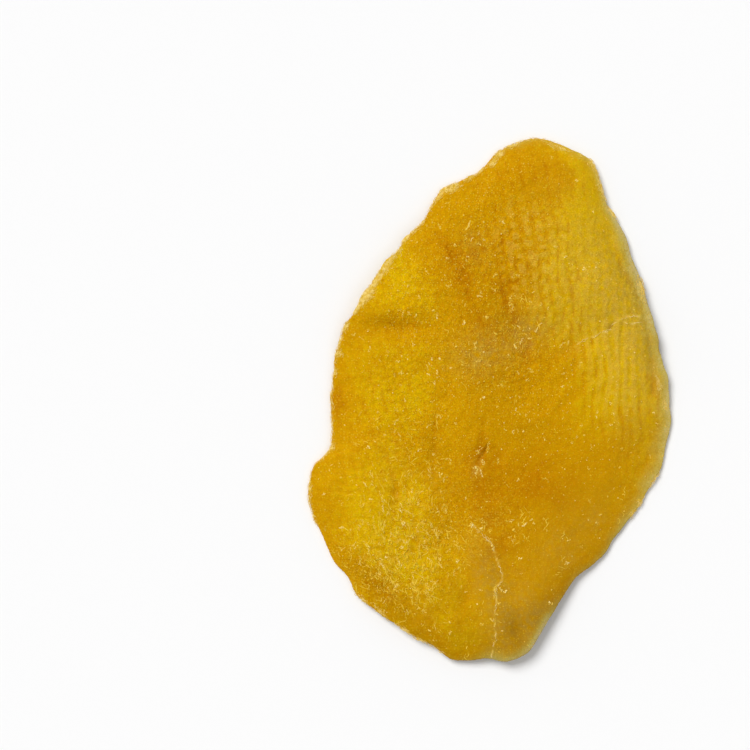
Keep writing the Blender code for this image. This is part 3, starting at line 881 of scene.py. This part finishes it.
def fibre_paint(name, deep, pale):
    """Dry fibre, from a deep to a pale colour."""
    paint = Paint(bpy.data.materials.new(name), Specular_IOR_Level=0.2)
    colour = paint.mix(paint.noise(0.8).between(0.3, 0.7), deep, pale)
    return paint.finish(Base_Color=colour, Roughness=paint.noise(0.6) * 0.3 + 0.35)


def grain_paint():
    """Sugar grains and dry crumbs, each from yellow to cream by its own value."""
    paint = Paint(bpy.data.materials.new("sugar_grain"), Specular_IOR_Level=0.12)
    tone = paint.attribute("own")
    colour = paint.mix(tone.between(0.0, 0.6), SUGAR_YELLOW, SUGAR_CREAM)
    colour = paint.mix(tone.between(0.6, 1.0), colour, SUGAR_PALE)
    return paint.finish(Base_Color=colour, Roughness=paint.noise(0.5) * 0.25 + 0.25)


def make_strands(name, material, x, y, thick, swell, start, lift):
    """A piece of closed tubes along rows of places on the upper face, each ring a small square across its
    run. The radius is thick (1 - swell + swell sin(t)), with t from start to pi - start. The middle is
    raised by a share of the radius, and both ends sink in."""
    radius = thick[:, None] * (1 - swell + swell * np.sin(np.linspace(start, math.pi - start, x.shape[1])))
    bow = np.sin(np.linspace(0, 1, x.shape[1]) * math.pi) ** 0.5
    points = np.stack([x, y, top(x, y) + radius * ((1 + lift) * bow - 1)], axis=-1)
    run = np.gradient(points, axis=1)
    run /= np.linalg.norm(run, axis=-1, keepdims=True) + 1e-9
    side = np.cross(run, (0.0, 0.0, 1.0))
    side /= np.linalg.norm(side, axis=-1, keepdims=True) + 1e-9
    over = np.cross(side, run)
    angle = np.arange(STRAND_SIDES) / STRAND_SIDES * TURN
    offset = side[:, :, None] * np.cos(angle)[:, None] + over[:, :, None] * np.sin(angle)[:, None]
    vertices = points[:, :, None] + radius[:, :, None, None] * offset
    index = np.arange(x.size * STRAND_SIDES).reshape(*x.shape, STRAND_SIDES)
    a, b = index[:, :-1], index[:, 1:]
    a_after, b_after = np.roll(a, -1, axis=2), np.roll(b, -1, axis=2)
    faces = [np.stack([a, b_after, a_after, a, b, b_after], axis=-1).reshape(-1, 3)]
    for k in range(1, STRAND_SIDES - 1):
        faces += [index[:, 0, [0, k, k + 1]], index[:, -1, [0, k + 1, k]]]
    make_piece(name, vertices.reshape(-1, 3), np.concatenate(faces), material)


def curled(draw, x, y, length, heading, curl, steps):
    """Rows of points that wander about x, y: the heading turns by curl over the length, and wobbles."""
    t = np.linspace(0, 1, steps)
    size = draw.normal(0, 0.5, (len(x), 1))
    rate = draw.uniform(3, 9, (len(x), 1))
    wobble = size * np.sin(t * rate + draw.uniform(0, 6, (len(x), 1)))
    angle = heading[:, None] + curl[:, None] * (t - 0.5) + wobble
    run = np.stack([np.cos(angle), np.sin(angle)]) * (length / (steps - 1))[:, None]
    path = np.cumsum(run, axis=2) - run.sum(axis=2, keepdims=True) / 2
    return x[:, None] + path[0], y[:, None] + path[1]


def moved(x, y, heading, along, aside):
    """The places moved along a heading, and aside to its left."""
    cos, sin = np.cos(heading), np.sin(heading)
    return x + along * cos - aside * sin, y + along * sin + aside * cos


def held_inside(x, y, margin):
    """The places, with those nearer to the edge than a margin moved straight towards the origin."""
    over = np.clip(margin - inwards(x, y), 0, None)
    angle = np.arctan2(y, x)
    return x - over * np.cos(angle), y - over * np.sin(angle)


def scattered(draw, count, table):
    """Random places on the upper face: evenly drawn ones, each kept with the table's density as chance."""
    drawn = count * DRAWN_FOR_EACH
    heading = draw.uniform(0, TURN, drawn)
    out = np.sqrt(draw.uniform(0, 1, drawn)) * LOOSE_REACH * reach(heading)
    x, y = out * np.cos(heading), out * np.sin(heading)
    keep = np.flatnonzero(draw.uniform(0, 1, drawn) < humps(x, y, table))[:count]
    return x[keep], y[keep]


def make_fibres():
    """Curly pale fibres lying on the upper face in loose tufts, each tuft with a heading of its own."""
    draw = np.random.default_rng(FIBRE_SEED)
    tuft_x, tuft_y = scattered(draw, FIBRE_TUFTS, FIBROUS)
    tuft_heading = draw.normal(math.radians(FIBRE_HEADING), 0.45, len(tuft_x))
    tuft = np.repeat(np.arange(len(tuft_x)), draw.integers(1, 5, len(tuft_x)))
    count = len(tuft)
    x, y = tuft_x[tuft] + draw.normal(0, 0.7, count), tuft_y[tuft] + draw.normal(0, 1, count)
    x, y = held_inside(x, y, 1)
    long = draw.uniform(0, 1, count) < LONG_SHARE
    length = (draw.gamma(3, 0.35, count) + 0.42) * np.where(long, 1.7, 1)
    heading = tuft_heading[tuft] + draw.normal(0, 0.45, count)
    curl = draw.normal(0, 1.4, count) * np.where(long, 0.3, 1)
    x, y = held_inside(*curled(draw, x, y, length, heading, curl, 8), 0.1)
    paint = fibre_paint("dried_fibre", FIBRE_DEEP, FIBRE_LIGHT)
    thick = draw.uniform(0.055, 0.12, count)
    make_strands("fibres", paint, x, y, thick, swell=0.45, start=0.15, lift=-0.25)


def grain_shape():
    """The twelve corners and twenty faces of a regular solid, faces found as its sets of near corners."""
    ratio = (1 + math.sqrt(5)) / 2
    corners = np.array([(0, s, t * ratio) for s in (-1, 1) for t in (-1, 1)], float)
    corners = np.vstack([corners, corners[:, [2, 0, 1]], corners[:, [1, 2, 0]]])
    gap = np.linalg.norm(corners[:, None] - corners[None], axis=-1)
    near = (gap > 0.1) & (gap < 2.1)
    i, j, k = np.meshgrid(*[np.arange(12)] * 3, indexing="ij")
    chosen = (i < j) & (j < k) & near[i, j] & near[j, k] & near[i, k]
    faces = np.stack([i[chosen], j[chosen], k[chosen]], axis=-1)
    a, b, c = (corners[faces[:, n]] for n in range(3))
    inside_out = (np.cross(b - a, c - a) * (a + b + c)).sum(axis=1) < 0
    faces[inside_out] = faces[inside_out][:, ::-1]
    return corners / np.linalg.norm(corners[0]), faces


def crumbs(name, draw, x, y, length, width, turn, own):
    """Uneven faceted lumps, half sunk in the upper face, each with its own half sizes, heading and tone."""
    count = len(x)
    corners, shape = grain_shape()
    size = np.stack([length, width, 0.6 * np.minimum(length, width)], axis=-1)[:, None]
    body = corners[None] * size * (1 + draw.uniform(-0.35, 0.35, (count, len(corners), 1)))
    height = top(x, y) + 0.1 * width
    px, py = moved(x[:, None], y[:, None], turn[:, None], body[:, :, 0], body[:, :, 1])
    vertices = np.stack([px, py, body[:, :, 2] + height[:, None]], axis=-1).reshape(-1, 3)
    faces = (shape[None] + (np.arange(count) * len(corners))[:, None, None]).reshape(-1, 3)
    piece = make_piece(name, vertices, faces, grain_paint(), {"own": np.repeat(own, len(corners))})
    piece.data.shade_flat()


def make_grains():
    """Small sugar grains and dry crumbs scattered over the upper face."""
    draw = np.random.default_rng(GRAIN_SEED)
    x, y = scattered(draw, SUGAR_GRAINS, SUGARED)
    size = 0.07 + 0.06 * draw.gamma(1.6, 0.5, len(x))
    length = size * draw.uniform(1, 1.6, len(x))
    own = draw.uniform(0, 0.85, len(x))
    crumbs("sugar_grains", draw, x, y, length, size, draw.uniform(0, TURN, len(x)), own)


def make_crumbs():
    """Pale crumbs: placed ones, small ones and flakes, each a cluster of uneven lumps along its heading."""
    draw = np.random.default_rng(CRUMB_SEED)
    small_x, small_y = scattered(draw, SMALL_CRUMBS, SUGARED)
    flake_x, flake_y = held_inside(*scattered(draw, FLAKES, FIBROUS), 1)
    small, flakes = len(small_x), len(flake_x)
    x, y, turn, length, width = np.array(MARKS).T
    x, y = np.concatenate([x, small_x, flake_x]), np.concatenate([y, small_y, flake_y])
    turn = np.concatenate([turn, draw.uniform(0, 180, small), draw.normal(FIBRE_HEADING, 35, flakes)])
    length = np.concatenate([length, draw.uniform(0.33, 0.6, small), draw.uniform(0.35, 1, flakes)])
    width = np.concatenate([width, draw.uniform(0.18, 0.33, small), draw.uniform(0.14, 0.28, flakes)])
    counts = [len(MARKS), small, flakes]
    own = draw.uniform(np.repeat([0.3, 0.15, 0.1], counts), np.repeat([0.85, 0.8, 0.6], counts))
    lumps = np.clip(np.round(4.5 * length / width), 3, 18).astype(int)
    pick = np.repeat(np.arange(len(x)), lumps)
    number = np.arange(len(pick)) - np.repeat(np.cumsum(lumps) - lumps, lumps)
    share = 2 * (number + draw.uniform(0.2, 0.8, len(pick))) / lumps[pick] - 1
    heading = np.radians(turn[pick])
    aside = draw.normal(0, 0.5, len(pick)) * width[pick]
    x, y = moved(x[pick], y[pick], heading, share * (length - 0.3 * width)[pick], aside)
    size = width[pick] * draw.uniform(0.2, 0.5, len(pick))
    heading = heading + draw.normal(0, 0.6, len(pick))
    own = np.clip(own[pick] + draw.normal(0, 0.2, len(pick)), 0, 1)
    crumbs("pale_crumbs", draw, x, y, size * draw.uniform(1, 1.8, len(pick)), size, heading, own)


def make_edge_fray():
    """Short pale strands that lie in the edge's cream stretches, most along the edge's run."""
    draw = np.random.default_rng(FRAY_STRAND_SEED)
    table = np.array(EDGE_FIBRES)
    share = table[:, 3] * table[:, 4] * table[:, 5]
    pick = draw.choice(len(table), FRAY_STRANDS, p=share / share.sum())
    x, y, turn, half_length, half_width, _ = table[pick].T
    turn = np.radians(turn)
    along = draw.normal(0, 0.55, FRAY_STRANDS) * half_length
    aside = draw.normal(0, 0.55, FRAY_STRANDS) * half_width
    x, y = held_inside(*moved(x, y, turn, along, aside), 0.1)
    length = draw.gamma(3, 0.22, FRAY_STRANDS) + 0.35
    heading = turn + draw.normal(0, 0.45, FRAY_STRANDS)
    x, y = curled(draw, x, y, length, heading, draw.normal(0, 1.3, FRAY_STRANDS), 7)
    x, y = held_inside(x, y, -0.25)
    paint = fibre_paint("edge_fibre", FRAY_DEEP, FRAY_LIGHT)
    thick = draw.uniform(0.025, 0.055, FRAY_STRANDS)
    make_strands("edge_fray", paint, x, y, thick, swell=0, start=0, lift=0.6)


def make_crease_threads():
    """Pale threads that run along the seams, in short overlapping lengths."""
    draw = np.random.default_rng(THREAD_SEED)
    starts = []
    for _, _, paleness, points in CREASES.values():
        if paleness:
            line = smooth_open(points, 16)
            pick = draw.integers(0, len(line) - 1, int(paleness * 5 * len(points)))
            run = line[pick + 1] - line[pick]
            spot = line[pick] + run * draw.uniform(0, 1, (len(pick), 1))
            spot += draw.normal(0, 0.13, (len(pick), 2))
            starts.append(np.column_stack([spot, np.arctan2(run[:, 1], run[:, 0])]))
    x, y, heading = np.concatenate(starts).T
    count = len(x)
    length = draw.gamma(4, 0.22, count) + 0.4
    heading = heading + draw.normal(0, 0.15, count)
    x, y = curled(draw, x, y, length, heading, draw.normal(0, 0.8, count), 9)
    paint = fibre_paint("crease_fibre", THREAD_DEEP, THREAD_LIGHT)
    thick = draw.uniform(0.03, 0.06, count)
    make_strands("crease_threads", paint, x, y, thick, swell=0.5, start=0.1, lift=0.9)


# Camera: straight above, as the photograph, with 0.25 mm of the slice's level to a pixel of 750
PIXELS = 750
PIXEL = 0.25
SLICE_CENTRE = (489.75, 399.35)
LENS = 85
SENSOR = 36
SLICE_LEVEL = 1.2

# The floor's half side and level, in metres
FLOOR_HALF = 2.0
FLOOR_LEVEL = -0.03 * MM


def make_camera():
    """A camera whose axis meets the slice's level at the photograph's middle."""
    data = bpy.data.cameras.new("camera")
    data.lens, data.sensor_width = LENS, SENSOR
    data.clip_start, data.clip_end = 0.01, 50
    camera = add_object("camera", data)
    across = (PIXELS / 2 - SLICE_CENTRE[0]) * PIXEL
    along = (SLICE_CENTRE[1] - PIXELS / 2) * PIXEL
    camera.location = (across * MM, along * MM, (PIXELS * PIXEL * LENS / SENSOR + SLICE_LEVEL) * MM)
    bpy.context.scene.camera = camera


def make_floor():
    """A large plain pale floor just under the slice."""
    mesh = bpy.data.meshes.new("floor")
    low, high = -FLOOR_HALF, FLOOR_HALF
    corners = [(low, low), (high, low), (high, high), (low, high)]
    mesh.from_pydata([(x, y, FLOOR_LEVEL) for x, y in corners], [], [(0, 1, 2, 3)])
    paint = Paint(bpy.data.materials.new("pale_floor"))
    mesh.materials.append(paint.finish(Base_Color=FLOOR_GREY, Roughness=0.9, Specular_IOR_Level=0.1))
    add_object("floor", mesh)


def make_light(name, elevation, heading, softness, strength):
    """A distant soft light from an elevation and a heading, in degrees, with its softness as an angle."""
    data = bpy.data.lights.new(name, "SUN")
    data.energy = strength
    data.angle = math.radians(softness)
    add_object(name, data).rotation_euler = (0, math.radians(90 - elevation), math.radians(heading))


def make_lights():
    """Soft key light from the upper left, a weak fill from the right, and a sky brighter at the horizon."""
    make_light("key", elevation=48, heading=132, softness=30, strength=2.6)
    make_light("fill", elevation=60, heading=-40, softness=50, strength=0.35)
    sky = Paint(bpy.data.worlds.new("studio"), "Background", Color=WHITE)
    place = sky.node("ShaderNodeTexCoord", {}, {}, "Generated")
    up = sky.node("ShaderNodeSeparateXYZ", {}, {0: place}, "Z")
    values = {"Value": up, "From Max": 0.35, "To Min": 0.95, "To Max": 0.34}
    bpy.context.scene.world = sky.finish(Strength=sky.node("ShaderNodeMapRange", {}, values))


make_flesh()
make_fibres()
make_grains()
make_crumbs()
make_edge_fray()
make_crease_threads()
make_camera()
make_floor()
make_lights()
bpy.context.scene.view_settings.view_transform = "Standard"
